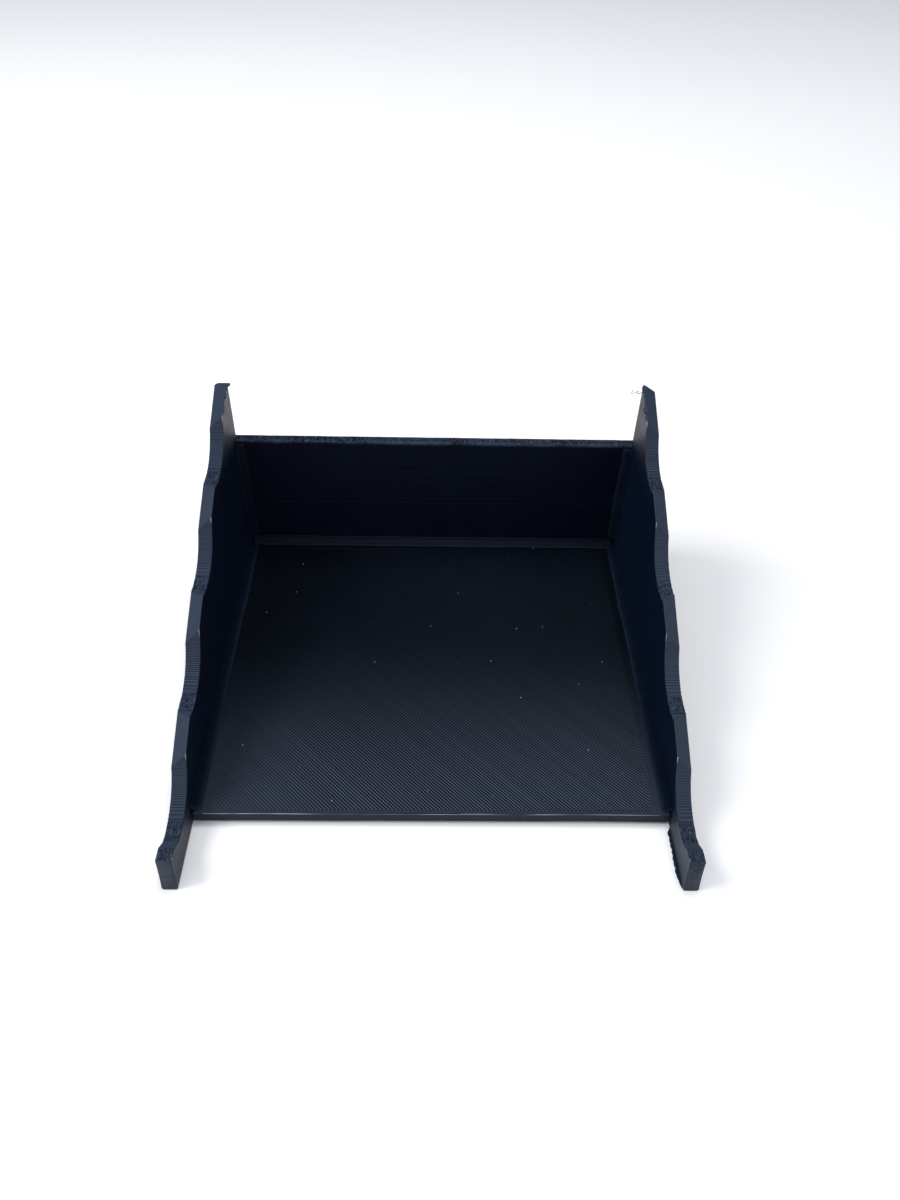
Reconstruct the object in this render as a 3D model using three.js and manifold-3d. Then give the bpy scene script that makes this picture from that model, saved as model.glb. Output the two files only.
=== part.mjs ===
// A tabletop rack for tube-shaped tools: two stepped side panels carry the tubes across their
// cradles, and a tray floor and a back wall between the panels hold them upright.
// Millimetres, +Z up, +X to the right, the open front towards -Y.
// The origin is on the tabletop, under the middle of the rack's outer box.

import * as THREE from 'three';
import { mergeVertices } from 'three/addons/utils/BufferGeometryUtils.js';
import Module from 'manifold-3d';

// ---- overall sizes ----
const overallWidth = 160;       // outside of one side panel to the outside of the other
const overallDepth = 160;       // front of the toes to the back of the wall
const jointGap = 0.3;           // clearance between two pieces that are bonded together

// ---- side panels ----
const panelThickness = 4.8;
const rampAngle = THREE.MathUtils.degToRad(25);
const cradlePitch = 40;         // from one cradle to the next, along the ramp
const cradleRadius = 19.8;
const cradleBite = 6;           // how deep a cradle cuts below the ramp, square to it
const cradleFloorHeight = 10.1; // lowest point of the front cradle above the tabletop
const toeLength = 13;           // front of the toe to the middle of the front cradle
const toeHeight = 12.9;
const toeRake = 2.1;            // how far the toe's top edge sits back from its sole
const toeLandLength = 6.2;      // front of the toe to the back of its level land
const toeFallAngle = THREE.MathUtils.degToRad(35); // from the land down into the front cradle
const hornMinimum = 18;         // least length of panel behind the middle of the last cradle
const bevelDrop = 3;            // the ramp is this much lower outside than inside
const soleChamfer = 0.6;

// ---- tray floor ----
const floorThickness = 4;
const floorClearance = 1;       // tabletop to the underside of the tray floor
const floorSetback = 23;        // front of the toes to the floor's front edge

// ---- back wall ----
const wallThickness = 4.8;
const wallSetDown = 27;         // back wall's top edge below the tip of the horns

// ---- bonding beads ----
const beadLeg = 2.6;            // width and height of a bead in its corner
const beadEndInset = 1;         // a bead stops this far short of the edges it runs to

// ---- worked out from the sizes above ----
const frontY = -overallDepth / 2;
const backY = overallDepth / 2;
const wallFrontY = backY - wallThickness;
const panelBackY = wallFrontY - jointGap;
const panelOuterX = overallWidth / 2;
const panelInnerX = panelOuterX - panelThickness;

const cradleStepY = cradlePitch * Math.cos(rampAngle);
const cradleStepZ = cradlePitch * Math.sin(rampAngle);
const firstCradleY = frontY + toeLength;
const firstCradleZ = cradleFloorHeight + cradleRadius;
const cradleCount = 1 + Math.floor((panelBackY - hornMinimum - firstCradleY) / cradleStepY);

const rampRise = Math.tan(rampAngle);
const rampAtFirstCradle = firstCradleZ - (cradleRadius - cradleBite) / Math.cos(rampAngle);
const rampHeight = (y) => rampAtFirstCradle + rampRise * (y - firstCradleY);
const hornHeight = rampHeight(panelBackY);

const floorTop = floorClearance + floorThickness;
const floorFrontY = frontY + floorSetback;
const wallTop = hornHeight - wallSetDown;

const plastic = { color: 0x1c1f26, roughness: 0.55, metalness: 0 };

// ---- solids: cutting with manifold-3d ----
const wasm = await Module();
wasm.setup();

function toSolid(geometry) {
  const bare = geometry.clone();
  bare.deleteAttribute('normal');
  bare.deleteAttribute('uv');
  const merged = mergeVertices(bare, 1e-4);
  return new wasm.Manifold(new wasm.Mesh({
    numProp: 3,
    vertProperties: new Float32Array(merged.attributes.position.array),
    triVerts: new Uint32Array(merged.index.array),
  }));
}

function toGeometry(solid) {
  const mesh = solid.getMesh();
  const geometry = new THREE.BufferGeometry();
  geometry.setAttribute('position', new THREE.BufferAttribute(mesh.vertProperties, 3));
  geometry.setIndex(new THREE.BufferAttribute(mesh.triVerts, 1));
  geometry.computeVertexNormals();
  return geometry;
}

function namedMesh(name, geometry) {
  const mesh = new THREE.Mesh(geometry, new THREE.MeshStandardMaterial(plastic));
  mesh.name = name;
  return mesh;
}

// An outline drawn in Y (across) and Z (up), given a thickness that runs along +X from x.
function prismAlongX(outline, x, length) {
  const geometry = new THREE.ExtrudeGeometry(outline, { depth: length, bevelEnabled: false });
  const turn = new THREE.Matrix4().makeBasis(
    new THREE.Vector3(0, 1, 0),
    new THREE.Vector3(0, 0, 1),
    new THREE.Vector3(1, 0, 0),
  );
  geometry.applyMatrix4(turn);
  geometry.translate(x, 0, 0);
  return geometry;
}

// ---- side panels ----
// Seen from the side: sole, raked toe with a short level land, then the straight ramp up to
// the tip of the horn, and a plumb back edge that stands against the back wall.
function panelOutline() {
  const rampMeetsLandY = firstCradleY + (toeHeight - rampAtFirstCradle) / rampRise;
  const outline = new THREE.Shape();
  outline.moveTo(frontY + soleChamfer, 0);
  outline.lineTo(panelBackY, 0);
  outline.lineTo(panelBackY, hornHeight);
  outline.lineTo(rampMeetsLandY, toeHeight);
  outline.lineTo(frontY + toeRake, toeHeight);
  outline.lineTo(frontY, soleChamfer);
  outline.closePath();
  return outline;
}

// A round cradle's cutter, lying across the panel.
function cradleCutter(index) {
  const spare = 2;
  const geometry = new THREE.CylinderGeometry(cradleRadius, cradleRadius, panelThickness + 2 * spare, 120);
  geometry.rotateZ(Math.PI / 2);
  geometry.translate(
    panelInnerX + panelThickness / 2,
    firstCradleY + index * cradleStepY,
    firstCradleZ + index * cradleStepZ,
  );
  return toSolid(geometry);
}

// The part of the toe the front cradle leaves standing: its level land, and the slope that
// falls from the land into the cradle.
function toeKeeper() {
  const spare = 1;
  const landBackY = frontY + toeLandLength;
  const fall = Math.tan(toeFallAngle);
  const outline = new THREE.Shape();
  outline.moveTo(frontY - spare, -spare);
  outline.lineTo(landBackY + (toeHeight - cradleFloorHeight) / fall, -spare);
  outline.lineTo(landBackY + (toeHeight - cradleFloorHeight) / fall, cradleFloorHeight);
  outline.lineTo(landBackY - spare / fall, toeHeight + spare);
  outline.lineTo(frontY - spare, toeHeight + spare);
  outline.closePath();
  return toSolid(prismAlongX(outline, panelInnerX - 3 * spare, panelThickness + 6 * spare));
}

// The cutter that slopes the ramp outwards: a box sheared to follow the ramp along Y and the
// bevel across X. It starts in the front cradle, so the toe keeps its level land.
function bevelCutter() {
  const spare = 3;
  const length = panelBackY + spare - firstCradleY;
  const height = 2 * hornHeight;
  const geometry = new THREE.BoxGeometry(panelThickness + 2 * spare, length, height);
  geometry.translate(0, length / 2, height / 2);
  const slope = new THREE.Matrix4().set(
    1, 0, 0, panelInnerX + panelThickness / 2,
    0, 1, 0, firstCradleY,
    -bevelDrop / panelThickness, rampRise, 1, rampAtFirstCradle - bevelDrop / 2,
    0, 0, 0, 1,
  );
  geometry.applyMatrix4(slope);
  return toSolid(geometry);
}

function sidePanel() {
  let panel = toSolid(prismAlongX(panelOutline(), panelInnerX, panelThickness));
  panel = panel.subtract(bevelCutter());
  panel = panel.subtract(cradleCutter(0).subtract(toeKeeper()));
  for (let index = 1; index < cradleCount; index += 1) {
    panel = panel.subtract(cradleCutter(index));
  }
  return panel;
}

// ---- tray floor ----
function trayFloor() {
  const width = 2 * (panelInnerX - jointGap);
  const length = wallFrontY - jointGap - floorFrontY;
  const geometry = new THREE.BoxGeometry(width, length, floorThickness);
  geometry.translate(0, floorFrontY + length / 2, floorClearance + floorThickness / 2);
  return geometry;
}

// ---- back wall ----
// It closes the back across the whole width, behind the rear edges of the side panels, and
// stands on the tabletop with them.
function backWall() {
  const geometry = new THREE.BoxGeometry(overallWidth, wallThickness, wallTop);
  geometry.translate(0, wallFrontY + wallThickness / 2, wallTop / 2);
  return geometry;
}

// ---- bonding beads ----
// A bead's section: two square faces in the corner and a hollow face between their ends.
function beadSection() {
  const section = new THREE.Shape();
  section.moveTo(0, 0);
  section.lineTo(beadLeg, 0);
  section.absarc(beadLeg, beadLeg, beadLeg, -Math.PI / 2, -Math.PI, true);
  section.closePath();
  return section;
}

// A bead of the given length. Its corner runs along `along`, and its two faces spread from
// there towards `across` and `up`; the three directions are a right-handed set.
function bead(corner, across, up, along, length) {
  const geometry = new THREE.ExtrudeGeometry(beadSection(), {
    depth: length,
    bevelEnabled: false,
    curveSegments: 8,
  });
  geometry.applyMatrix4(new THREE.Matrix4().makeBasis(across, up, along).setPosition(corner));
  return geometry;
}

const towardsX = new THREE.Vector3(1, 0, 0);
const towardsY = new THREE.Vector3(0, 1, 0);
const towardsZ = new THREE.Vector3(0, 0, 1);
const beadX = panelInnerX - jointGap;
const beadY = wallFrontY - jointGap;
const beadZ = floorTop + jointGap;

// The two floor beads run along the foot of each side panel, as far as the upright corners.
function leftFloorBead() {
  const start = new THREE.Vector3(-beadX, beadY - beadLeg - jointGap, beadZ);
  const length = start.y - floorFrontY - beadEndInset;
  return bead(start, towardsX, towardsZ, towardsY.clone().negate(), length);
}

function rightFloorBead() {
  const start = new THREE.Vector3(beadX, floorFrontY + beadEndInset, beadZ);
  const length = beadY - beadLeg - jointGap - start.y;
  return bead(start, towardsX.clone().negate(), towardsZ, towardsY, length);
}

// The rear bead runs along the foot of the back wall, from one side panel to the other.
function rearFloorBead() {
  const start = new THREE.Vector3(beadX, beadY, beadZ);
  return bead(start, towardsY.clone().negate(), towardsZ, towardsX.clone().negate(), 2 * beadX);
}

// The two upright beads stand on the rear bead, in the corners between the wall and the panels.
function leftWallBead() {
  const start = new THREE.Vector3(-beadX, beadY, beadZ + beadLeg + jointGap);
  const length = wallTop - beadEndInset - start.z;
  return bead(start, towardsY.clone().negate(), towardsX, towardsZ, length);
}

function rightWallBead() {
  const start = new THREE.Vector3(beadX, beadY, beadZ + beadLeg + jointGap);
  const length = wallTop - beadEndInset - start.z;
  return bead(start, towardsX.clone().negate(), towardsY.clone().negate(), towardsZ, length);
}

// ---- the rack ----
const rack = new THREE.Group();
const panel = sidePanel();
rack.add(namedMesh('left_side_panel', toGeometry(panel.mirror([1, 0, 0]))));
rack.add(namedMesh('right_side_panel', toGeometry(panel)));
rack.add(namedMesh('tray_floor', trayFloor()));
rack.add(namedMesh('back_wall', backWall()));
rack.add(namedMesh('left_floor_bead', leftFloorBead()));
rack.add(namedMesh('right_floor_bead', rightFloorBead()));
rack.add(namedMesh('rear_floor_bead', rearFloorBead()));
rack.add(namedMesh('left_wall_bead', leftWallBead()));
rack.add(namedMesh('right_wall_bead', rightWallBead()));

export default rack;
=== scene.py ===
"""A stepped rack for tube-shaped tools, printed in black plastic: four plates bonded at the corners."""
import math

import bpy
import numpy as np
from mathutils import Matrix, Vector


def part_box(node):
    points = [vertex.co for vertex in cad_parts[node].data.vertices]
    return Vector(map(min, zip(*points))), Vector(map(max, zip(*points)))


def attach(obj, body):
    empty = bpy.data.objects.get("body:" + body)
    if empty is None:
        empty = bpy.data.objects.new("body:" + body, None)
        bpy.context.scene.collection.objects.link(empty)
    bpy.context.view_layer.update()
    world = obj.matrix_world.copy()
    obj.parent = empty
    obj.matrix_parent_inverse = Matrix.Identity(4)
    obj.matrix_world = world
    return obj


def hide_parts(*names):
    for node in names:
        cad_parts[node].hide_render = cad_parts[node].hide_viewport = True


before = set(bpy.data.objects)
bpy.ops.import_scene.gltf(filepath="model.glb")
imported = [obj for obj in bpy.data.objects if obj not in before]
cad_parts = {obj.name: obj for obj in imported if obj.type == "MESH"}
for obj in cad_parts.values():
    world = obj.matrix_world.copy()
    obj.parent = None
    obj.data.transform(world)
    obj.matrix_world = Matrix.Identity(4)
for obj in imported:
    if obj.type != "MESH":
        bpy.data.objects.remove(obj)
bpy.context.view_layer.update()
MM = 0.001

# ---------------------------------------------------------------------------------------------
# The tabletop and the camera. The rack stands on a wide matt white sheet, and is seen from
# above its open front, as someone sitting at the table sees it.
# ---------------------------------------------------------------------------------------------


def srgb(code):
    """A six-digit sRGB hex colour as linear red, green, blue and an alpha of one."""
    parts = [int(code[i:i + 2], 16) / 255 for i in (0, 2, 4)]
    linear = [c / 12.92 if c <= 0.04045 else ((c + 0.055) / 1.055) ** 2.4 for c in parts]
    return (*linear, 1.0)


def add(tree, kind, settings=None, **links):
    """Adds a node. Settings name its properties or its inputs; links join outputs to its inputs.
    Where labels repeat, an input is given by its number, written in_ and the number in a link."""
    node = tree.nodes.new(kind)
    for name, value in (settings or {}).items():
        if isinstance(name, int) or name in node.inputs:
            node.inputs[name].default_value = value
        else:
            setattr(node, name, value)
    for name, output in links.items():
        key = int(name[3:]) if name.startswith("in_") else name.replace("_", " ")
        tree.links.new(output, node.inputs[key])
    return node


def new_material(name):
    """An empty node material with its output, and the tree that holds them."""
    material = bpy.data.materials.new(name)
    material.use_nodes = True
    tree = material.node_tree
    tree.nodes.clear()
    return material, tree, tree.nodes.new("ShaderNodeOutputMaterial")


def matt_white_sheet():
    """Matt white board: a slightly uneven diffuse sheet with hardly any gloss."""
    material, tree, output = new_material("matt_white_board")
    place = add(tree, "ShaderNodeTexCoord")
    cloud = add(tree, "ShaderNodeTexNoise", {"Scale": 3.0, "Detail": 2.0}, Vector=place.outputs["Object"])
    tone = add(tree, "ShaderNodeMix", {"data_type": "RGBA", 6: srgb("e6e6e6"), 7: srgb("ebebea")},
               in_0=cloud.outputs["Fac"])
    shader = add(tree, "ShaderNodeBsdfPrincipled", {"Roughness": 0.85, "Specular IOR Level": 0.2},
                 Base_Color=tone.outputs[2])
    tree.links.new(shader.outputs[0], output.inputs["Surface"])
    return material


table_half = 3.0
table_mesh = bpy.data.meshes.new("tabletop")
table_mesh.from_pydata(
    [(-table_half, -table_half, 0), (table_half, -table_half, 0),
     (table_half, table_half, 0), (-table_half, table_half, 0)],
    [], [(0, 1, 2, 3)])
table_mesh.materials.append(matt_white_sheet())
tabletop = bpy.data.objects.new("tabletop", table_mesh)
bpy.context.collection.objects.link(tabletop)

# The camera looks down at the tray; pitch, yaw and roll are in degrees.
camera_place = Vector((-1.7, -214.5, 248.3)) * MM
camera_pitch, camera_yaw, camera_roll = 43.68, 1.83, -1.83
camera_lens = 27.03

pitch, yaw, roll = (math.radians(a) for a in (camera_pitch, camera_yaw, camera_roll))
forward = Vector((math.sin(yaw) * math.cos(pitch), math.cos(yaw) * math.cos(pitch), -math.sin(pitch)))
level_right = Vector((math.cos(yaw), -math.sin(yaw), 0))
level_down = forward.cross(level_right)
right = math.cos(roll) * level_right + math.sin(roll) * level_down
down = -math.sin(roll) * level_right + math.cos(roll) * level_down
camera_data = bpy.data.cameras.new("camera")
camera_data.lens = camera_lens
camera_data.clip_start = 0.01
camera = bpy.data.objects.new("camera", camera_data)
turn = Matrix((right, -down, -forward)).transposed().to_4x4()
camera.matrix_world = Matrix.Translation(camera_place) @ turn
bpy.context.collection.objects.link(camera)
bpy.context.scene.camera = camera

# Soft white room light: bright overhead and behind the viewer, dimmer towards the far wall, so
# the tray darkens towards its back.
world = bpy.data.worlds.new("white_room")
world.use_nodes = True
sky = world.node_tree
sky_place = add(sky, "ShaderNodeTexCoord")
sky_lean = add(sky, "ShaderNodeVectorMath", {"operation": "DOT_PRODUCT", 1: (0.0, -0.60, 0.80)},
               in_0=sky_place.outputs["Generated"])
sky_level = add(sky, "ShaderNodeMapRange",
                {"interpolation_type": "SMOOTHSTEP", "From Min": 0.15, "From Max": 0.85,
                 "To Min": 0.05, "To Max": 1.15}, Value=sky_lean.outputs["Value"])
sky_glow = sky.nodes["Background"]
sky_glow.inputs["Color"].default_value = srgb("f2f6ff")
sky.links.new(sky_level.outputs[0], sky_glow.inputs["Strength"])
bpy.context.scene.world = world
bpy.context.scene.view_settings.view_transform = "Standard"


def softbox(name, place, target, size, power):
    """A square area light at place, turned towards target. It lights the table and the rack but
    is hidden from glossy rays, so neither mirrors it."""
    data = bpy.data.lights.new(name, "AREA")
    data.energy = power
    data.size = size
    lamp = bpy.data.objects.new(name, data)
    lamp.location = place
    lamp.visible_glossy = False
    lamp.rotation_euler = (Vector(target) - Vector(place)).to_track_quat("-Z", "Y").to_euler()
    bpy.context.collection.objects.link(lamp)


softbox("softbox_high_left", (-0.85, 0.00, 1.0), (0, 0, 0), 0.6, 11.0)
softbox("softbox_far_overhead", (0.14, 0.36, 1.25), (0, 0, 0), 0.45, 7.0)

# ---------------------------------------------------------------------------------------------
# The two side panels: mirror-image plates of black PLA, printed standing up in thin layers.
# Each has a raked toe, a ramp bevelled towards the outside, and round cradles cut straight
# across it, where the layers show as terraces. They stand on the table on their narrow soles.
# ---------------------------------------------------------------------------------------------

layer = 0.38 * MM          # a printed layer, drawn about twice as thick as it is to show
bead_width = 0.9 * MM      # a laid line of plastic, drawn at twice its width to show
ramp_angle = math.radians(25)
cradle_pitch = 40 * MM
cradle_radius = 19.8 * MM
cradle_bite = 6 * MM
cradle_floor = 10.1 * MM
cradle_inset = 13 * MM     # toe to the middle of the front cradle
toe_height = 12.9 * MM
toe_rake = 2.1 * MM
toe_land = 6.2 * MM        # the toe's level top, which then falls into the front cradle
toe_fall = math.radians(35)
bevel_drop = 3 * MM
horn_minimum = 18 * MM     # the least length kept behind the middle of the last cradle
horn_rough = 16 * MM       # from the back edge to where the horn's inner arris turns ragged
nick_reach = 18.6 * MM     # from a cradle's centre back to its end, where a nick sits
edge_round = 0.35 * MM
sole_inset = 0.5 * MM      # the soles' small bottom chamfer, across and up
sole_foot = 0.6 * MM
toe_free = 20 * MM         # the toe's length in front of the tray
ring_step = 0.1 * MM

panel_low, panel_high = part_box("right_side_panel")
panel_in, panel_out = panel_low[0], panel_high[0]
panel_front, panel_back = panel_low[1], panel_high[1]
panel_thick = panel_out - panel_in


def ripple(a, b, seed, count=7):
    """Smooth random waves in two parameters: a sum of sines of unequal lengths and phases, about -1 to 1."""
    rng = np.random.default_rng(seed)
    total = np.zeros(np.broadcast(a, b).shape)
    for _ in range(count):
        fa, fb = rng.normal(0, 1, 2)
        total += np.sin(fa * a + fb * b + rng.uniform(0, 2 * np.pi))
    return total / math.sqrt(count)


def smooth_step(x, low, high):
    """Zero below low, one above high, and a smooth curve between them."""
    t = np.clip((x - low) / (high - low), 0, 1)
    return t * t * (3 - 2 * t)


def panel_top(y, across):
    """Height of a panel's top edge at y, and how much of it is cradle or toe rather than ramp.
    It is the lowest of the outline, the bevelled ramp and the arcs of the cradles."""
    first_y = panel_front + cradle_inset
    first_z = cradle_floor + cradle_radius
    ramp_start = first_z - (cradle_radius - cradle_bite) / math.cos(ramp_angle)
    ramp = ramp_start + math.tan(ramp_angle) * (y - first_y)
    bevelled = ramp - bevel_drop * across / panel_thick
    height = np.where(y < first_y, np.maximum(toe_height, ramp), bevelled)
    inside = smooth_step(-(y - first_y), 0, 1 * MM)
    count = 1 + int((panel_back - horn_minimum - first_y) / (cradle_pitch * math.cos(ramp_angle)))
    for index in range(count):
        centre_y = first_y + index * cradle_pitch * math.cos(ramp_angle)
        centre_z = first_z + index * cradle_pitch * math.sin(ramp_angle)
        reach = cradle_radius ** 2 - (y - centre_y) ** 2
        arc = np.where(reach > 0, centre_z - np.sqrt(np.maximum(reach, 0)), 1.0)
        if index == 0:
            fall = toe_height - math.tan(toe_fall) * np.maximum(y - panel_front - toe_land, 0)
            arc = np.where(y < centre_y - 2 * MM, np.maximum(arc, fall), arc)
        inside = np.maximum(inside, smooth_step(height - arc, 0, 0.2 * MM))
        height = np.minimum(height, arc)
    return height, inside


def terraced(height, amount):
    """Heights cut into layers: flat treads with a short rounded riser between them."""
    step = np.floor(height / layer)
    part = smooth_step(height / layer - step, 0.55, 1.0)
    return height + amount * ((step + part) * layer - height)


def loft(sections):
    """Vertices and faces of a closed solid from rings of points, joined ring to ring, with both
    end rings filled. The rings are an array of ring, point in the ring, and x, y, z."""
    rings, points = sections.shape[:2]
    i = np.arange(rings - 1)[:, None] * points
    j = np.arange(points)[None, :]
    after = (j + 1) % points
    quads = np.stack([i + j, i + after, i + points + after, i + points + j], -1).reshape(-1, 4)
    ends = [list(range(points))[::-1], list(range((rings - 1) * points, rings * points))]
    return sections.reshape(-1, 3), [*quads.tolist(), *ends]


def printed_piece(name, vertices, faces, material, node, marks=None):
    """A mesh object at the origin that rides with the rack and, if a node is given, stands for
    that node of the CAD model. Its marks are values at its points that its material reads."""
    mesh = bpy.data.meshes.new(name)
    mesh.from_pydata(np.asarray(vertices).tolist(), [], faces)
    mesh.polygons.foreach_set("use_smooth", np.ones(len(mesh.polygons), dtype=bool))
    for mark, values in (marks or {}).items():
        attribute = mesh.attributes.new(mark, "FLOAT", "POINT")
        attribute.data.foreach_set("value", np.asarray(values, dtype=np.float32).ravel())
    mesh.materials.append(material)
    mesh.update()
    piece = bpy.data.objects.new(name, mesh)
    bpy.context.collection.objects.link(piece)
    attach(piece, "root")
    if node:
        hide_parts(node)


def black_pla(name, dark, light, gleam, wear_and_sheen_tone="3b4553", dust=False):
    """Black PLA as it leaves a printer: a dark blue-black plastic, half matt. Level layer lines run round it,
    faint on its faces and strong where a cradle cuts them, with painted highlights on their crests and
    painted shade in the grooves between.
    Its rubbed arrises are paler; its edge faces, level strokes and the tray's laid lines carry painted
    highlights; nicks are whitish, and the tray's whitish front-arris line is a painted highlight. With dust,
    pale specks lie on it."""
    material, tree, output = new_material(name)
    place = add(tree, "ShaderNodeTexCoord")
    xyz = add(tree, "ShaderNodeSeparateXYZ", Vector=place.outputs["Object"])
    mark = {each: add(tree, "ShaderNodeAttribute", {"attribute_name": each}).outputs["Fac"]
            for each in ("worn", "level", "cut", "edge", "nick_and_highlight", "line")}

    # Layer lines: one rounded ridge for each layer, wandering a little along the wall.
    wander = add(tree, "ShaderNodeTexNoise", {"Scale": 40.0, "Detail": 1.0}, Vector=place.outputs["Object"])
    shift = add(tree, "ShaderNodeMath", {"operation": "MULTIPLY_ADD", 1: 0.05 * MM},
                in_0=wander.outputs["Fac"], in_2=xyz.outputs["Z"])
    phase = add(tree, "ShaderNodeMath", {"operation": "DIVIDE", 1: layer}, in_0=shift.outputs[0])
    turn_of = add(tree, "ShaderNodeMath", {"operation": "MULTIPLY", 1: 2 * math.pi}, in_0=phase.outputs[0])
    ridge = add(tree, "ShaderNodeMath", {"operation": "COSINE"}, in_0=turn_of.outputs[0])
    index = add(tree, "ShaderNodeMath", {"operation": "FLOOR"}, in_0=phase.outputs[0])
    each = add(tree, "ShaderNodeTexWhiteNoise", {"noise_dimensions": "1D"}, W=index.outputs[0])

    # Level patches: short curled strokes, about two to a laid line, where the last lines end.
    strokes = add(tree, "ShaderNodeMapping",
                  {"Rotation": (0, 0, math.radians(40)), "Scale": (1.0, 0.35, 0.4)},
                  Vector=place.outputs["Object"])
    worms = add(tree, "ShaderNodeTexNoise",
                {"Scale": 1.9 / bead_width, "Detail": 1.5, "Distortion": 1.1},
                Vector=strokes.outputs[0])
    worm_line = add(tree, "ShaderNodeMapRange", {"From Min": 0.44, "From Max": 0.58},
                    Value=worms.outputs["Fac"])
    worm_height = add(tree, "ShaderNodeMath", {"operation": "MULTIPLY"},
                      in_0=worm_line.outputs[0], in_1=mark["level"])

    grain = add(tree, "ShaderNodeTexNoise", {"Scale": 1800.0, "Detail": 2.0}, Vector=place.outputs["Object"])
    cloud = add(tree, "ShaderNodeTexNoise", {"Scale": 55.0, "Detail": 4.0, "Roughness": 0.6},
                Vector=place.outputs["Object"])

    # Colour: the plastic, dark and light in clouds, and how pale each mark makes it.
    body = add(tree, "ShaderNodeMix", {"data_type": "RGBA", 6: srgb(dark), 7: srgb(light)},
               in_0=cloud.outputs["Fac"])
    pale_share = add(tree, "ShaderNodeMapRange", {"From Min": 0.42, "From Max": 0.75}, Value=cloud.outputs["Fac"])
    rubbed = add(tree, "ShaderNodeMath", {"operation": "MULTIPLY"}, in_0=pale_share.outputs[0], in_1=mark["worn"])
    # Painted highlight on each layer's crest where a cradle cuts the layers, stronger on some layers than on
    # others.
    crest = add(tree, "ShaderNodeMapRange", {"From Min": 0.3, "From Max": 1.0, "To Max": 0.7},
                Value=ridge.outputs[0])
    own_tone = add(tree, "ShaderNodeMapRange", {"To Min": 0.35}, Value=each.outputs["Value"])
    own_crest = add(tree, "ShaderNodeMath", {"operation": "MULTIPLY"},
                    in_0=crest.outputs[0], in_1=own_tone.outputs[0])
    tread_tone = add(tree, "ShaderNodeMath", {"operation": "MULTIPLY"},
                     in_0=own_crest.outputs[0], in_1=mark["cut"])
    # Painted highlights: on the level patches' curled strokes, and on the tray's laid lines, border and rim
    # through their line mark.
    worm_tone = add(tree, "ShaderNodeMath", {"operation": "MULTIPLY", 1: 0.8}, in_0=worm_height.outputs[0])
    line_tone = add(tree, "ShaderNodeMath", {"operation": "MULTIPLY", 1: 0.78}, in_0=mark["line"])

    # Painted light: an edge face, and the toe all round, is painted about half paler as a highlight, less so
    # where its last lines show, and painted shade darkens it between its layers.
    laid = add(tree, "ShaderNodeMath", {"operation": "MULTIPLY_ADD", 1: -0.75, 2: 1.0}, in_0=mark["level"])
    edge_tone = add(tree, "ShaderNodeMath", {"operation": "MULTIPLY"},
                    in_0=mark["edge"], in_1=laid.outputs[0])
    valley = add(tree, "ShaderNodeMapRange",
                 {"From Min": -0.6, "From Max": 0.7, "To Min": 0.95, "To Max": 0.0},
                 Value=ridge.outputs[0])
    valley = add(tree, "ShaderNodeMath", {"operation": "MULTIPLY"}, in_0=valley.outputs[0], in_1=mark["cut"])
    kept = add(tree, "ShaderNodeMath", {"operation": "MULTIPLY_ADD", 1: -0.5, 2: 0.5}, in_0=valley.outputs[0])
    edge_tone = add(tree, "ShaderNodeMath", {"operation": "MULTIPLY"},
                    in_0=edge_tone.outputs[0], in_1=kept.outputs[0])

    # The palest mark wins; nicks, the painted front-arris highlight and dust lie over it.
    pale = edge_tone
    for part in (worm_tone, line_tone, rubbed, tread_tone):
        pale = add(tree, "ShaderNodeMath", {"operation": "MAXIMUM"},
                   in_0=pale.outputs[0], in_1=part.outputs[0])
    paler = add(tree, "ShaderNodeMix", {"data_type": "RGBA", 7: srgb(wear_and_sheen_tone)},
                in_0=pale.outputs[0], in_6=body.outputs[2])
    nick_noise = add(tree, "ShaderNodeTexNoise", {"Scale": 70.0, "Detail": 3.0},
                     Vector=place.outputs["Object"])
    nick_part = add(tree, "ShaderNodeMapRange", {"From Min": 0.15, "From Max": 0.55},
                    Value=nick_noise.outputs["Fac"])
    nicked = add(tree, "ShaderNodeMath", {"operation": "MULTIPLY"},
                 in_0=nick_part.outputs[0], in_1=mark["nick_and_highlight"])
    tone = add(tree, "ShaderNodeMix", {"data_type": "RGBA", 7: srgb("aab2ba")},
               in_0=nicked.outputs[0], in_6=paler.outputs[2])
    if dust:
        cells = add(tree, "ShaderNodeTexVoronoi", {"voronoi_dimensions": "2D", "Scale": 95.0},
                    Vector=place.outputs["Object"])
        chosen = add(tree, "ShaderNodeSeparateColor", Color=cells.outputs["Color"])
        size = add(tree, "ShaderNodeMapRange",
                   {"From Min": 0.70, "From Max": 1.0, "To Min": 0.0, "To Max": 0.026},
                   Value=chosen.outputs[0])
        speck = add(tree, "ShaderNodeMath", {"operation": "LESS_THAN"},
                    in_0=cells.outputs["Distance"], in_1=size.outputs[0])
        tone = add(tree, "ShaderNodeMix", {"data_type": "RGBA", 7: srgb("6c747e")},
                   in_0=speck.outputs[0], in_6=tone.outputs[2])

    # Each layer is a touch glossier or duller than the next.
    gloss_of_layer = add(tree, "ShaderNodeMath", {"operation": "MULTIPLY_ADD", 1: 0.14, 2: 0.32},
                         in_0=each.outputs["Value"])
    gloss = add(tree, "ShaderNodeMath", {"operation": "MULTIPLY_ADD", 1: 0.12},
                in_0=cloud.outputs["Fac"], in_2=gloss_of_layer.outputs[0])

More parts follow.
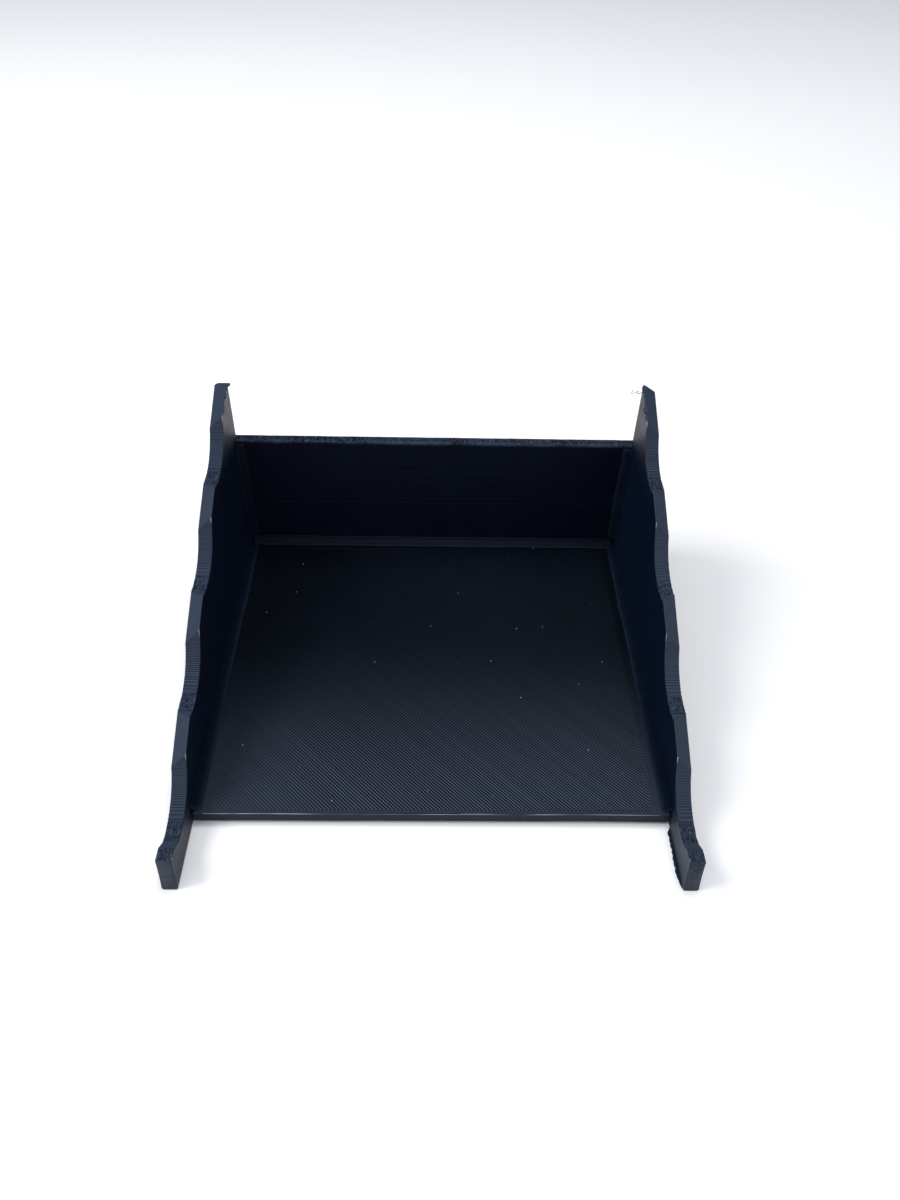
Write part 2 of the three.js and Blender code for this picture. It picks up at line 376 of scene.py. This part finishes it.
    layer_bump = add(tree, "ShaderNodeBump", {"Strength": 0.5, "Distance": 0.05 * MM},
                     Height=ridge.outputs[0])
    worm_bump = add(tree, "ShaderNodeBump", {"Strength": 0.9, "Distance": 0.3 * MM},
                    Height=worm_height.outputs[0], Normal=layer_bump.outputs[0])
    grain_bump = add(tree, "ShaderNodeBump", {"Strength": 0.25, "Distance": 0.03 * MM},
                     Height=grain.outputs["Fac"], Normal=worm_bump.outputs[0])
    shader = add(tree, "ShaderNodeBsdfPrincipled", {"IOR": 1.46, "Specular IOR Level": gleam},
                 Base_Color=tone.outputs[2], Roughness=gloss.outputs[0], Normal=grain_bump.outputs[0])
    tree.links.new(shader.outputs[0], output.inputs["Surface"])
    return material


panel_plastic = black_pla("black_pla_standing_print", "060f20", "0b172b", 0.24)


def side_panel(side):
    """A panel's rings, one each ring_step along its top edge. A ring runs along the sole, up the
    outer face, over the edge and down the inner face. side is 1 for the right panel, -1 for the
    left; across is measured from the inner face. Rings near the toe lean back by its rake."""
    fine = np.linspace(panel_front, panel_back, 12001)
    height, _ = panel_top(fine, 0.5 * panel_thick)
    length = np.concatenate([[0], np.cumsum(np.hypot(np.diff(fine), np.diff(height)))])
    y = np.interp(np.linspace(0, length[-1], int(length[-1] / ring_step)), length, fine)[:, None]
    lean = toe_rake * (1 - smooth_step(y, panel_front, panel_front + 5 * MM))
    top_y = y + lean

    # Columns across the edge, closer together at its two rounded arrises.
    arris = edge_round * np.array([0, 0.12, 0.35, 0.7, 1.1])
    across = np.concatenate([panel_thick - arris, np.linspace(0.85, 0.15, 13) * panel_thick, arris[::-1]])
    nearest = np.minimum(across, panel_thick - across)
    drop = edge_round - np.sqrt(edge_round ** 2 - np.maximum(edge_round - nearest, 0) ** 2)

    raw, inside = panel_top(top_y, across[None, :])
    slope = np.abs(np.gradient(raw, axis=0) / np.maximum(np.gradient(top_y, axis=0), 1e-9))
    level = inside * (1 - smooth_step(slope, 0.10, 0.24))
    wobble = 0.05 * MM * ripple(top_y / (3 * MM), across[None, :] / (2 * MM), 11 + side)
    top = terraced(raw + wobble, 0.95 * inside)
    uneven = np.random.default_rng(17 + side).uniform(-1, 1, 600)[np.clip((raw / layer).astype(int), 0, 599)]
    top = top + 0.04 * MM * inside * (1 - level) * uneven
    strokes = np.sin(2 * np.pi * (top_y + across[None, :] + wobble * 9) / (1.3 * bead_width))
    worms = ripple(top_y / (0.5 * MM), across[None, :] / (0.42 * MM), 71 + side, 9)
    top = top + MM * level * (0.04 * strokes + 0.07 * worms)

    # The horn's inner arris is ragged: each pair of layers overshoots by its own amount. The left
    # horn's tip has lost its last layers and kept a small tab at its inner corner.
    horn = smooth_step(y, panel_back - horn_rough, panel_back - 9 * MM)
    per_layer = np.random.default_rng(5 + side).uniform(-0.2, 1, 400)
    overshoot = per_layer[np.clip((top / (2 * layer)).astype(int), 0, 399)]
    near_inner = smooth_step(-across, -0.9 * MM, -0.1 * MM)[None, :]
    push = 0.75 * MM * horn * near_inner * overshoot
    top = top - 0.5 * MM * horn * near_inner * np.abs(overshoot)
    if side < 0:
        top = np.minimum(top, top.max() - 1.9 * MM)
        push = push + 0.9 * MM * near_inner * smooth_step(y, panel_back - 2.5 * MM, panel_back - 1.2 * MM)
    edge_x = panel_in + across[None, :] - push
    edge_z = top - drop[None, :]

    # The two faces bow inwards by about a tenth of a millimetre, as a printed wall can.
    share = np.append(np.linspace(0, 1, 14)[1:-1], 0.992)[None, :]
    rows = share.size
    foot = sole_foot
    bow = 0.06 * MM
    outer_z = foot + share * (edge_z[:, :1] - foot)
    inner_z = foot + share[:, ::-1] * (edge_z[:, -1:] - foot)
    outer_x = panel_out + bow * (ripple(y / (21 * MM), outer_z / (15 * MM), 3) - 1.5) * np.sin(np.pi * share)
    inner_x = panel_in + bow * (ripple(y / (21 * MM), inner_z / (15 * MM), 4) + 1.5) * np.sin(np.pi * share)
    flat = np.zeros_like(y)
    x = np.concatenate([
        flat + panel_in + sole_inset, flat + panel_in + panel_thick / 2, flat + panel_out - sole_inset,
        flat + panel_out, outer_x, edge_x, inner_x, flat + panel_in], axis=1)
    z = np.concatenate([flat, flat, flat, flat + foot, outer_z, edge_z, inner_z, flat + foot], axis=1)
    ring_y = y + lean * z / edge_z.max(axis=1, keepdims=True)

    first, last = 4 + rows, 4 + rows + len(across)
    worn = np.zeros_like(z)
    worn[:, first:last] = smooth_step(-nearest, -0.3 * MM, 0)[None, :]
    tread = np.zeros_like(z)
    tread[:, first:last] = level
    cut = np.zeros_like(z)
    cut[:, first:last] = inside
    # White nicks at the inner arris, where each cradle ends and at the front of the toe.
    nick_and_highlight = np.zeros_like(z)
    kink = np.zeros_like(y)
    for index, size in enumerate((0.40, 0.55, 0.35, 0.5)):
        place = panel_front + cradle_inset + index * cradle_pitch * math.cos(ramp_angle) + nick_reach
        kink = np.maximum(kink, np.exp(-((y - place) / (size * MM)) ** 2))
    kink = np.maximum(kink, np.exp(-((y - panel_front - 0.9 * MM) / (0.35 * MM)) ** 2))
    nick_and_highlight[:, last - 4:last + 1] = kink * np.array([0.3, 0.7, 0.8, 0.5, 0.0])[None, :]
    # The edge mark paints the top edge faces paler, as a painted highlight.
    edge = np.zeros_like(z)
    edge[:, first:last] = 1
    # The toes stand clear of the tray, and painted light makes them paler all round.
    toe_end = panel_front + toe_free
    edge = np.maximum(edge, 0.6 - 0.6 * smooth_step(y, toe_end, toe_end + 4 * MM))
    marks = {"worn": worn, "level": tread, "cut": cut, "edge": edge, "nick_and_highlight": nick_and_highlight}
    rings = np.stack([side * x, ring_y, z], -1)
    if side > 0:
        rings = rings[:, ::-1]
        marks = {name: values[:, ::-1] for name, values in marks.items()}
    return rings, marks


for side, word in ((1, "right"), (-1, "left")):
    rings, marks = side_panel(side)
    vertices, faces = loft(rings)
    printed_piece(f"{word}_panel_print", vertices, faces, panel_plastic, f"{word}_side_panel",
                  marks=marks)

# ---------------------------------------------------------------------------------------------
# Two leftovers of printing on the right panel: a torn strip of brim along the inner foot of its
# toe, and a hair of stringing that curls off the tip of its horn. Same black PLA.
# ---------------------------------------------------------------------------------------------


def brim_strip():
    """A thin flat strip on the table: rings along y, each a low box whose free edge is torn to a
    width of its own."""
    y = np.linspace(panel_front + 0.8 * MM, panel_front + 21.5 * MM, 110)[:, None]
    torn = 0.75 + 0.22 * ripple(y / (2.6 * MM), 0 * y, 81) + 0.13 * ripple(y / (0.6 * MM), 0 * y, 82)
    fade = smooth_step(y, y[0], y[0] + 3 * MM) * (1 - smooth_step(y, y[-1] - 2 * MM, y[-1]))
    width = MM * (0.12 + np.clip(torn, 0.1, 1.3) * fade)
    out = np.array([0, 0, 0.5, 0.92, 1, 0.92, 0.5])[None, :]
    up = np.array([0.02, 0.42, 0.45, 0.38, 0.2, 0.02, 0.02])[None, :] * MM
    x = panel_in - 0.02 * MM - out * width
    return np.stack([x, y + 0 * x, up + 0 * x], -1)


def string_hair():
    """A round hair of plastic, thinner towards its end, that wanders through a few curls."""
    t = np.linspace(0, 1, 90)[:, None]
    around = np.linspace(0, 2 * np.pi, 7)[None, :-1]
    path = np.stack([
        panel_in - 0.1 * MM - 4.2 * MM * t + 0.55 * MM * np.sin(15 * t),
        panel_back - 0.6 * MM - 0.8 * MM * np.sin(5 * t),
        panel_high[2] - 1.6 * MM - 1.1 * MM * t + 0.6 * MM * np.cos(13 * t) - 0.6 * MM], -1)
    run = np.gradient(path[:, 0], axis=0)
    run /= np.linalg.norm(run, axis=1, keepdims=True)
    first = np.cross(run, (0.3, 1.0, 0.2))
    first /= np.linalg.norm(first, axis=1, keepdims=True)
    second = np.cross(run, first)
    radius = (0.13 - 0.06 * t[..., None]) * MM
    round_x = np.cos(around)[..., None] * first[:, None]
    round_y = np.sin(around)[..., None] * second[:, None]
    return path + radius * (round_x + round_y)


def leftover(name, rings, marks):
    """A closed loft that rides with the rack but stands for no CAD node of its own."""
    vertices, faces = loft(rings)
    marks = {mark: np.full(len(vertices), value) for mark, value in marks.items()}
    printed_piece(name, vertices, faces, panel_plastic, None, marks=marks)


# The edge mark paints both paler as painted light, the hair most; the hair's worn mark makes it paler still.
leftover("right_toe_brim_strip", brim_strip()[:, ::-1], {"edge": 0.4})
leftover("right_horn_string", string_hair(), {"edge": 1.0, "worn": 1.0})

# ---------------------------------------------------------------------------------------------
# The tray floor: a flat plate printed lying down, with a smooth border round its rim and the
# rest of its top laid in close diagonal lines. It is bonded between the two side panels.
# ---------------------------------------------------------------------------------------------

tray_low, tray_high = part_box("tray_floor")
rim_side, rim_front, rim_back = 5.6 * MM, 1.6 * MM, 4.5 * MM
line_width = 0.88 * MM     # a laid line, drawn about twice its real width to show
line_height = 0.17 * MM
rows_per_line = 6
tray_round = 0.35 * MM
# The tray's pale tones are painted highlights; they fade into painted shade towards the back.
tray_fade = 95 * MM        # from the front edge to where its pale tones have faded out
line_tone, border_tone, rim_tone = 0.30, 0.28, 0.13     # mean tones at the front; 1 is palest


def tray_print():
    """The plate as two sheets and a rim. Each sheet's rows run along the laid lines, so a row is
    a line of constant x + y cut to the inner rectangle; height across the rows follows the
    rounded backs of the lines. The rim carries the sheet's border out to the plate's edge, over
    it, down the side and back under."""
    low = np.array([tray_low[0] + rim_side, tray_low[1] + rim_front])
    high = np.array([tray_high[0] - rim_side, tray_high[1] - rim_back])
    spacing = math.sqrt(2) * line_width
    first_row = np.ceil(low.sum() / spacing * rows_per_line)
    total = np.arange(first_row, high.sum() / spacing * rows_per_line) * spacing / rows_per_line
    total = np.unique(np.concatenate([total, [low[0] + high[1], high[0] + low[1]]]))
    start_x = np.maximum(low[0], total - high[1])
    end_x = np.minimum(high[0], total - low[1])
    along = np.concatenate([[0, 0.006, 0.03], np.linspace(0.12, 0.88, 8), [0.97, 0.994, 1]])[None, :]
    x = start_x[:, None] + along * (end_x - start_x)[:, None]
    y = total[:, None] - x
    number = np.floor(total / spacing)
    back = 1 - np.abs(2 * (total / spacing - number) - 1) ** 2.4
    own = np.random.default_rng(8).uniform(0.975, 1.0, 600)[(number - number[0]).astype(int)]
    warp = 0.05 * MM * ripple(x / (30 * MM), y / (30 * MM), 21)
    crown = (back * own)[:, None] + 0 * x
    z = tray_high[2] - line_height * (1.2 - crown) + warp
    sheet = np.stack([x, y, z], -1)

    border = np.concatenate([sheet[:, -1], sheet[::-1, 0]])
    reach = (border[:, :2] - low) / (high - low)
    outer = np.array(tray_low[:2]) + reach * (np.array(tray_high[:2]) - np.array(tray_low[:2]))
    top, bottom = tray_high[2], tray_low[2]

    # The loops of the rim: the flat border, a rounded arris, the side, an arris, the underside.
    flat_count, arc_count, side_count = 6, 4, 3
    bend = np.linspace(0, math.pi / 2, arc_count)
    straight = np.arange(1, side_count + 1) / (side_count + 1)
    inset = np.concatenate([
        np.linspace(0.97, 0.06, flat_count), 0 * bend, 0 * straight, 0 * bend, [0.5, 1.0]])
    side_in = np.concatenate([
        np.zeros(flat_count), tray_round * (1 - np.sin(bend)), 0 * straight,
        tray_round * (1 - np.cos(bend)), [0, 0]])
    height = np.concatenate([
        np.full(flat_count, top - 0.04 * MM), top - tray_round * (1 - np.cos(bend)),
        top - tray_round - straight * (top - bottom - 2 * tray_round),
        bottom + tray_round * (1 - np.sin(bend)), [bottom, bottom]])
    outward = outer - border[:, :2]
    outward = outward / np.linalg.norm(outward, axis=1, keepdims=True)
    loops = []
    for share, inwards, level_of in zip(inset, side_in, height):
        flat = outer + share * (border[:, :2] - outer) - inwards * outward * (share == 0)
        sag = 0.10 * MM * ripple(flat[:, 0] / (9 * MM), flat[:, 1] / (9 * MM), 31)
        loops.append(np.column_stack([flat, level_of + sag * (share == 0)]))
    under = sheet.copy()
    under[..., 2] = bottom

    rows, columns = sheet.shape[:2]
    count = len(border)
    grid = np.arange(rows * columns).reshape(rows, columns)
    sheet_quads = np.stack([grid[:-1, :-1], grid[:-1, 1:], grid[1:, 1:], grid[1:, :-1]], -1).reshape(-1, 4)
    border_index = np.concatenate([grid[:, -1], grid[::-1, 0]])
    first_loop = rows * columns
    loop_index = [border_index]
    for number in range(len(loops) - 1):
        loop_index.append(first_loop + number * count + np.arange(count))
    first_under = first_loop + (len(loops) - 1) * count
    loop_index.append(border_index + first_under)
    around = np.array(loop_index)
    after = np.roll(around, -1, axis=1)
    ring_quads = np.stack([around[:-1], around[1:], after[1:], after[:-1]], -1).reshape(-1, 4)
    vertices = np.concatenate([sheet.reshape(-1, 3), *loops[:-1], under.reshape(-1, 3)])
    faces = np.concatenate([sheet_quads, ring_quads, sheet_quads[:, ::-1] + first_under])

    # How pale it is, all painted light: painted highlights on the laid lines' crests, with less contrast
    # towards the left, and on the border and the rim evenly, and all of it fading into painted shade towards
    # the back.
    line = np.zeros(len(vertices))
    clear = 0.4 + 0.6 * smooth_step(x, -64 * MM, -30 * MM)
    line[:first_loop] = (line_tone + clear * (crown ** 9 - line_tone)).ravel()
    first_side = first_loop + (flat_count + arc_count - 1) * count
    line[first_loop:first_side] = border_tone
    line[first_side:first_under] = rim_tone
    line *= 0.03 + 0.97 * smooth_step(-vertices[:, 1], -tray_low[1] - tray_fade, -tray_low[1]) ** 1.8

    # A painted highlight on the front arris: whitish in places, most at the left.
    nick_and_highlight = np.zeros(len(vertices))
    on_front = (reach[:, 1] < 1e-6) & (np.abs(outer[:, 0]) < tray_high[0] - 3.2 * MM)
    patches = ripple(outer[:, 0] / (4 * MM), 0 * reach[:, 1], 77)
    pale_share = 0.30 + 0.45 * smooth_step(-outer[:, 0], 15 * MM, 45 * MM) + 0.3 * patches
    for loop in (flat_count + 1, flat_count + 2):
        nick_and_highlight[first_loop + loop * count:first_loop + (loop + 1) * count] = np.clip(pale_share, 0, 1) * on_front
    return vertices, faces.tolist(), {"line": line, "nick_and_highlight": nick_and_highlight}


vertices, faces, marks = tray_print()
# The tray's plastic is painted darker than the panels' as shade in the tray, and its pale tone is the colour
# of its painted highlights.
tray_plastic = black_pla("black_pla_flat_print_painted_light", "02050b", "050a14", 0.13, "505b6b", dust=True)
printed_piece("tray_floor_print", vertices, faces, tray_plastic, "tray_floor", marks=marks)

# ---------------------------------------------------------------------------------------------
# The back wall: a plate printed standing up, so its layers run level across it. It closes the
# rack behind the two panels and is bonded to them and to the tray floor.
# ---------------------------------------------------------------------------------------------

wall_low, wall_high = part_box("back_wall")


def wall_print():
    """The wall's rings, one for each station along x. A ring goes up the front face, over the top
    and down the rear face; both faces are a row of rounded layers, each standing out a little
    more or less than the next."""
    stations = np.linspace(wall_low[0], wall_high[0], 61)
    first, last, end_round = stations[0], stations[-1], 0.3 * MM
    stations = np.concatenate([[first, first + end_round * 0.3, first + end_round], stations[1:-1],
                               [last - end_round, last - end_round * 0.3, last]])
    pull = np.interp(stations, stations[[0, 1, 2, -3, -2, -1]],
                     end_round * np.array([1, 0.3, 0, 0, 0.3, 1]))[:, None]
    z = np.arange(wall_low[2] + 0.4 * MM, wall_high[2] - 0.4 * MM, layer / 3)[None, :]
    part = z / layer - np.floor(z / layer)
    rng = np.random.default_rng(13)
    own = rng.normal(0, 0.018, 400) + 0.05 * (rng.uniform(0, 1, 400) > 0.93)
    stand = MM * own[np.floor(z / layer).astype(int)]
    ridge = 0.035 * MM * np.abs(np.sin(np.pi * part)) + stand - 0.08 * MM
    x = stations[:, None]
    bow = 0.08 * MM * ripple(x / (30 * MM), z / (18 * MM), 41)
    front = wall_low[1] - ridge + bow + pull
    rear = wall_high[1] + ridge + bow * 0.4 - pull - 0.05 * MM
    crest = np.array([0.05, 0.25, 0.5, 0.75, 0.95])[None, :]
    crest_y = wall_low[1] + 0.15 * MM + pull + crest * (wall_high[1] - wall_low[1] - 0.3 * MM - 2 * pull)
    rough = 0.04 * MM * (1 + ripple(x / (1.1 * MM), crest * 5, 43))
    crest_z = wall_high[2] - rough - 0.1 * MM * (2 * crest - 1) ** 4
    foot_y = crest_y[:, ::-1]
    foot_z = wall_low[2] + 0 * foot_y
    ring_y = np.concatenate([front, crest_y, rear[:, ::-1], foot_y], axis=1)
    ring_z = np.concatenate([z + 0 * x, crest_z, z[:, ::-1] + 0 * x, foot_z], axis=1)
    rings = np.stack([x + 0 * ring_y, ring_y, ring_z], -1)
    worn = np.zeros(ring_y.shape)
    top_first = z.shape[1]
    top_count = crest.size
    worn[:, top_first - 3:top_first + 2] = 1
    worn[:, top_first + top_count - 2:top_first + top_count + 3] = 1
    level = np.zeros(ring_y.shape)
    level[:, top_first:top_first + top_count] = 1
    return rings[:, ::-1], {"worn": worn[:, ::-1], "level": level[:, ::-1]}


rings, marks = wall_print()
vertices, faces = loft(rings)
# The wall's plastic is painted darker than the panels', as painted shade at the back of the rack.
wall_plastic_shaded = black_pla("black_pla_wall_print_painted_shade", "010512", "040d20", 0.13)
printed_piece("back_wall_print", vertices, faces, wall_plastic_shaded, "back_wall", marks=marks)

# ---------------------------------------------------------------------------------------------
# The bonding beads: smooth hollow-faced fillets of black plastic run along the five inside
# corners. They are a little duller than the prints, and slightly lumpy.
# ---------------------------------------------------------------------------------------------


def bead_plastic():
    """The beads' plastic: about as dark and blue as the plates, smooth and half matt, with a faint
    paler line where it runs out on them."""
    material, tree, output = new_material("black_filler_bead")
    place = add(tree, "ShaderNodeTexCoord")
    worn = add(tree, "ShaderNodeAttribute", {"attribute_name": "worn"})
    cloud = add(tree, "ShaderNodeTexNoise", {"Scale": 220.0, "Detail": 3.0}, Vector=place.outputs["Object"])
    body = add(tree, "ShaderNodeMix", {"data_type": "RGBA", 6: srgb("050b15"), 7: srgb("0a1321")},
               in_0=cloud.outputs["Fac"])
    lip = add(tree, "ShaderNodeMath", {"operation": "MULTIPLY"},
              in_0=cloud.outputs["Fac"], in_1=worn.outputs["Fac"])
    tone = add(tree, "ShaderNodeMix", {"data_type": "RGBA", 7: srgb("18222f")},
               in_0=lip.outputs[0], in_6=body.outputs[2])
    gloss = add(tree, "ShaderNodeMapRange", {"To Min": 0.50, "To Max": 0.64}, Value=cloud.outputs["Fac"])
    bump = add(tree, "ShaderNodeBump", {"Strength": 0.3, "Distance": 0.1 * MM}, Height=cloud.outputs["Fac"])
    shader = add(tree, "ShaderNodeBsdfPrincipled", {"IOR": 1.46, "Specular IOR Level": 0.12},
                 Base_Color=tone.outputs[2], Roughness=gloss.outputs[0], Normal=bump.outputs[0])
    tree.links.new(shader.outputs[0], output.inputs["Surface"])
    return material


filler = bead_plastic()
bond_gap = 0.3 * MM


def corner_bead(name, corner, across, up, along, length, leg, seed):
    """A hollow-faced bead: a quarter circle between the ends of two legs, closed at the corner,
    carried in a straight line. Its legs grow and shrink a little along the way."""
    stations = np.linspace(0, length, int(length / (0.8 * MM)))[:, None]
    swell = 1 - 0.10 * (1 + ripple(stations / (7 * MM), 0 * stations, seed)) * 0.5
    swell = swell - 0.10 * np.exp(-np.minimum(stations, length - stations) / (0.7 * MM))
    angle = np.linspace(0, math.pi / 2, 9)[None, :]
    reach = swell * leg
    back = bond_gap * 0.85
    lip, crisp = 0.2 * MM, 0.015 * MM
    ease = reach + lip * 0.6
    hollow_a = reach * (1 - np.sin(angle))
    hollow_b = reach * (1 - np.cos(angle))
    root = -back + 0 * reach
    profile_a = np.concatenate([root + crisp, ease - crisp, ease, ease - crisp, hollow_a,
                                root + crisp, root, root, root], axis=1)
    profile_b = np.concatenate([root, root, root + crisp, root + 2 * crisp, hollow_b,
                                ease - crisp, ease, ease - crisp, root + crisp], axis=1)
    corner, across, up, along = (np.array(v, dtype=float) for v in (corner, across, up, along))
    rings = (corner + stations[..., None] * along + profile_a[..., None] * across + profile_b[..., None] * up)
    worn = np.zeros(rings.shape[:2])
    worn[:, 2:6] = 1
    vertices, faces = loft(rings)
    printed_piece(name, vertices, [f[::-1] for f in faces], filler, name.replace("_run", ""),
                  {"worn": worn})


for side, word in ((1, "right"), (-1, "left")):
    low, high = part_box(f"{word}_floor_bead")
    leg = high[0] - low[0]
    corner_x = high[0] if side > 0 else low[0]
    start, along = ((low[1], 1) if side > 0 else (high[1], -1))
    corner_bead(f"{word}_floor_bead_run", (corner_x, start, low[2]), (-side, 0, 0), (0, 0, 1), (0, along, 0),
                high[1] - low[1], leg, 51 + side)
    low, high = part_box(f"{word}_wall_bead")
    corner_x = high[0] if side > 0 else low[0]
    first, second = (((-1, 0, 0), (0, -1, 0)) if side > 0 else ((0, -1, 0), (1, 0, 0)))
    corner_bead(f"{word}_wall_bead_run", (corner_x, high[1], low[2]), first, second, (0, 0, 1),
                high[2] - low[2], leg, 55 + side)
low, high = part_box("rear_floor_bead")
corner_bead("rear_floor_bead_run", (high[0], high[1], low[2]), (0, -1, 0), (0, 0, 1), (-1, 0, 0),
            high[0] - low[0], high[1] - low[1], 61)
